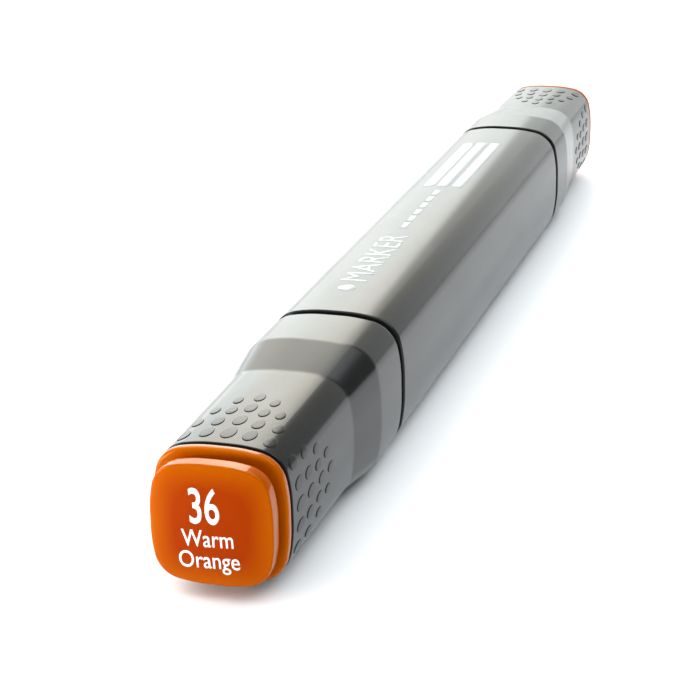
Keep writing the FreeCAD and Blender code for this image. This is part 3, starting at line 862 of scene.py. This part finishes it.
def print_on(name, shapes, surface, end, body, ink):
    """Lays flat shapes on a surface as one thin closed layer of ink."""
    flat = bmesh.new()
    for spots, faces in shapes:
        corners = [flat.verts.new((x, y, 0)) for x, y in spots]
        for face in faces:
            flat.faces.new([corners[k] for k in face])
    bmesh.ops.remove_doubles(flat, verts=flat.verts, dist=1e-4)
    # Cuts at each whole millimetre let the layer follow a curved surface.
    for axis in (0, 1):
        low = math.floor(min(v.co[axis] for v in flat.verts))
        high = math.ceil(max(v.co[axis] for v in flat.verts))
        normal = (1, 0, 0) if axis == 0 else (0, 1, 0)
        for place in range(low + 1, high):
            everything = flat.verts[:] + flat.edges[:] + flat.faces[:]
            bmesh.ops.bisect_plane(flat, geom=everything, dist=1e-5, plane_no=normal,
                                   plane_co=tuple(place * part for part in normal))
    bmesh.ops.triangulate(flat, faces=flat.faces)
    flat.verts.index_update()
    count = len(flat.verts)
    verts = [surface(v.co.x, v.co.y, INK_LIFT) for v in flat.verts]
    verts += [surface(v.co.x, v.co.y, -INK_LIFT) for v in flat.verts]
    faces = []
    for face in flat.faces:
        loop = [v.index for v in face.verts]
        faces.append(tuple(loop))
        faces.append(tuple(k + count for k in reversed(loop)))
    for side in flat.edges:
        if len(side.link_faces) == 1:
            a, b = (v.index for v in side.verts)
            faces.append((a, b, b + count, a + count))
    flat.free()
    piece = finish_mesh(make_object(name, verts, faces, end))
    piece.data.shade_flat()
    settle(piece, body, ink, slot_name="white_print")


def figure_half(y, z):
    """Half width of the section's figure that passes through a point."""
    angle = math.atan2(abs(z), abs(y))
    spots = [(math.atan2(v, u), math.hypot(u, v)) for u, v in SQUARE if u >= 0 and v >= 0]
    spots.sort()
    for (a, ra), (b, rb) in zip(spots, spots[1:]):
        if a <= angle <= b:
            reach = ra + (rb - ra) * (angle - a) / max(b - a, 1e-9)
            return math.hypot(y, z) / reach
    return math.hypot(y, z)


def print_plug(end):
    """A colour number over a plain colour name, set a little askew as printed."""
    askew = 2.5                                  # degrees
    bold, regular = 0.01, 0.004
    shapes = turn_shapes([
        lettering("36", -0.5, 0.28, 3.4, 2.9, bold),
        lettering("Warm", -0.42, -2.05, 1.65, 5.0, regular),
        lettering("Orange", -0.42, -4.2, 1.65, 5.9, regular),
    ], askew)

    def surface(across, up, lift):
        return (face_depth(figure_half(across, up)) - lift, -across, up)

    print_on(f"{end.name}_plug_print", shapes, surface, end, end.body, "white_print")


def print_barrel():
    """Plain marks along the barrel's top: a dot, a word, a broken rule and a block of bars."""
    dot, word, dashes, bars, stop = (BROAD.barrel + x for x in (8.0, 19.5, 31.5, 51.0, 74.0))
    middle = 1.1                                 # sideways, of the whole line of marks
    letter = 3.2
    dash, dash_pitch, dash_wide = 2.5, 3.0, 0.8
    bar_wide, bar_pitch = 1.4, 1.9
    shapes = [
        disc(dot, middle, 1.0),
        lettering("MARKER", word, middle - letter / 2, letter, 18.0),
    ]
    for k in range(6):
        left = dashes + dash_pitch * k
        shapes.append(bar(left, left + dash, middle - dash_wide / 2, middle + dash_wide / 2))
    for k in (-1, 0, 1):
        low = middle + bar_pitch * k - bar_wide / 2
        shapes.append(bar(bars, stop, low, low + bar_wide))

    def surface(along, across, lift):
        return on_top(BODY_HALF, along, across, lift)

    print_on("barrel_print", shapes, surface, BROAD, "marker_body", "silver_print")


def dress_carried_nodes():
    """The reservoir keeps its CAD shape and gets fibre and film materials."""
    for node, slot_name in (("reservoir_core", "ink_fibre"), ("reservoir_film", "clear_film")):
        piece = frame["nodes"][node]
        piece.data.materials.clear()
        piece.data.materials.append(MATERIALS[slot_name])


# ---- stage, light and camera ----

def area_light(name, place, aim, size, power, colour=(1, 1, 1)):
    """A rectangular light that the camera doesn't see, aimed at a point."""
    data = bpy.data.lights.new(name, "AREA")
    data.shape = "RECTANGLE"
    data.size, data.size_y = size
    data.energy = power
    data.color = colour
    light = bpy.data.objects.new(name, data)
    light.visible_camera = False
    light.location = place
    light.rotation_euler = (Vector(aim) - Vector(place)).to_track_quat("-Z", "Y").to_euler()
    bpy.context.scene.collection.objects.link(light)


def make_stage():
    """The pale floor and the lights."""
    mesh = bpy.data.meshes.new("floor")
    reach = 6.0
    corners = [(-reach, -reach, 0), (reach, -reach, 0), (reach, reach, 0), (-reach, reach, 0)]
    mesh.from_pydata(corners, [], [(0, 1, 2, 3)])
    floor = bpy.data.objects.new("floor", mesh)
    bpy.context.scene.collection.objects.link(floor)
    material = bpy.data.materials.new("pale_floor")
    material.use_nodes = True
    shader = material.node_tree.nodes["Principled BSDF"]
    shader.inputs["Base Color"].default_value = (0.9, 0.9, 0.9, 1)
    shader.inputs["Roughness"].default_value = 0.6
    mesh.materials.append(material)

    plug = BROAD.point(0, 0, 0)
    area_light("overhead", (0.0, 0.05, 0.8), (0, 0, 0), (2.0, 2.0), 23, (0.92, 0.96, 1.0))
    area_light("left_key", (0.1, 0.65, 0.5), (0, 0, 0), (0.6, 0.6), 1.0)
    area_light("right_fill", (0.0, -0.36, 0.6), (0, 0, 0), (0.4, 0.4), 1.3, (0.85, 0.93, 1.0))
    area_light("front_card", plug + Vector((-0.03, 0.04, 0.004)), plug, (0.03, 0.012), 0.026)
    bpy.context.scene.view_settings.view_transform = "Standard"


def heading(azimuth, elevation):
    """The unit direction at an azimuth from +X and an elevation, in degrees."""
    a, e = math.radians(azimuth), math.radians(elevation)
    return Vector((math.cos(a) * math.cos(e), math.sin(a) * math.cos(e), math.sin(e)))


def make_surroundings():
    """The studio round the marker: a tilted soft light low behind it, on an otherwise dim room."""
    world = bpy.data.worlds.new("studio")
    bpy.context.scene.world = world
    world.use_nodes = True
    tree = world.node_tree
    tree.nodes.clear()
    direction = tree.nodes.new("ShaderNodeTexCoord").outputs["Generated"]

    def along(vector):
        """How far a ray's direction points along a unit direction."""
        node = tree.nodes.new("ShaderNodeVectorMath")
        node.operation = "DOT_PRODUCT"
        node.inputs[1].default_value = vector
        tree.links.new(direction, node.inputs[0])
        return node.outputs["Value"]

    def ramp(source, start, stop, low, high, kind="SMOOTHSTEP"):
        """Maps a value from start..stop to low..high, held at both ends."""
        node = tree.nodes.new("ShaderNodeMapRange")
        node.interpolation_type = kind
        for name, value in (("From Min", start), ("From Max", stop), ("To Min", low),
                            ("To Max", high)):
            node.inputs[name].default_value = value
        tree.links.new(source, node.inputs["Value"])
        return node.outputs["Result"]

    def combine(operation, a, b):
        """One maths node over two values."""
        node = tree.nodes.new("ShaderNodeMath")
        node.operation = operation
        tree.links.new(a, node.inputs[0])
        tree.links.new(b, node.inputs[1])
        return node.outputs["Value"]

    def edge(a, b):
        """Across a great circle through two directions: positive on its left, in radians."""
        return along(heading(*b).cross(heading(*a)).normalized())

    height = along((0, 0, 1))
    behind = along((1, 0, 0))

    # The soft light has a straight right edge, is half as bright past its upper left edge, and
    # fades at its top and far to the left. Its level grows upward and to the left.
    right_side = edge((9.0, 22), (8.4, 30.5))
    right_edge = ramp(right_side, -0.022, 0.022, 0, 1)
    upper_left = ramp(edge((26.5, 17.5), (16.5, 30.5)), -0.02, 0.02, 1, 0.5)
    level = ramp(along(heading(130.5, 52.6)), -0.28, 0.3, 0.72, 9.0, "LINEAR")
    top = ramp(height, 0.52, 0.64, 1.0, 0.12)
    far_left = ramp(along(heading(132, 0)), -0.1, 0.15, 1, 0.08)
    soft_light = right_edge
    for part in (upper_left, level, top, far_left):
        soft_light = combine("MULTIPLY", soft_light, part)

    # A round glow straight behind the marker is brighter in its middle and towards the soft
    # light's right edge. The rest of the room is dim, a little less so above in front.
    dim, bright = 0.44, 1.3
    round_edge = (0.838, 0.858)
    rise = ramp(behind, 0.86, 0.955, 0, bright, "LINEAR")
    wide = ramp(behind, *round_edge, 0, dim)
    near_edge = combine("MULTIPLY", ramp(right_side, -0.22, 0, dim, bright),
                        ramp(behind, *round_edge, 0, 1))
    glow = combine("MAXIMUM", near_edge, combine("ADD", wide, combine("MULTIPLY", rise, rise)))
    front = ramp(along(heading(180, 40)), 0.3, 0.95, 0.07, 0.24)
    room = combine("MAXIMUM", combine("MAXIMUM", soft_light, glow), front)

    # Slightly green low down and warm higher up; the camera itself sees plain white.
    tint = tree.nodes.new("ShaderNodeMix")
    tint.data_type = "RGBA"
    tint.inputs["A"].default_value = (0.94, 0.985, 0.96, 1)
    tint.inputs["B"].default_value = (1.0, 0.97, 0.86, 1)
    tree.links.new(ramp(height, 0.27, 0.4, 0, 1), tint.inputs["Factor"])
    lit = tree.nodes.new("ShaderNodeBackground")
    tree.links.new(tint.outputs["Result"], lit.inputs["Color"])
    tree.links.new(room, lit.inputs["Strength"])
    plain = tree.nodes.new("ShaderNodeBackground")
    plain.inputs["Color"].default_value = (1, 1, 1, 1)
    choose = tree.nodes.new("ShaderNodeMixShader")
    tree.links.new(tree.nodes.new("ShaderNodeLightPath").outputs["Is Camera Ray"],
                   choose.inputs["Fac"])
    tree.links.new(lit.outputs["Background"], choose.inputs[1])
    tree.links.new(plain.outputs["Background"], choose.inputs[2])
    output = tree.nodes.new("ShaderNodeOutputWorld")
    tree.links.new(choose.outputs["Shader"], output.inputs["Surface"])


def make_camera():
    """Looks at the broad end from low in front, slightly to its right."""
    data = bpy.data.cameras.new("camera")
    data.lens = 108
    data.sensor_width = 36
    data.clip_start, data.clip_end = 0.01, 50
    camera = bpy.data.objects.new("camera", data)
    offset = Vector((-162.7, -62.7, 79.6))       # from the centre of the broad end's face
    camera.location = BROAD.point(*offset)
    azimuth, dip, roll = math.radians(16.82), math.radians(19.85), math.radians(-0.99)
    ahead = Vector((math.cos(azimuth) * math.cos(dip), math.sin(azimuth) * math.cos(dip),
                    -math.sin(dip)))
    turn = ahead.to_track_quat("-Z", "Y").to_matrix().to_4x4()
    camera.matrix_world = (Matrix.Translation(camera.location) @ turn
                           @ Matrix.Rotation(roll, 4, "Z"))
    bpy.context.scene.collection.objects.link(camera)
    bpy.context.scene.camera = camera


make_stage()
make_surroundings()
make_camera()
make_barrel()
for end in (BROAD, FINE):
    make_shell(end)
    make_liner(end)
    make_plug(end)
    make_dots(end)
    make_holder(end)
    print_plug(end)
print_barrel()
make_chisel()
make_bullet()
dress_carried_nodes()
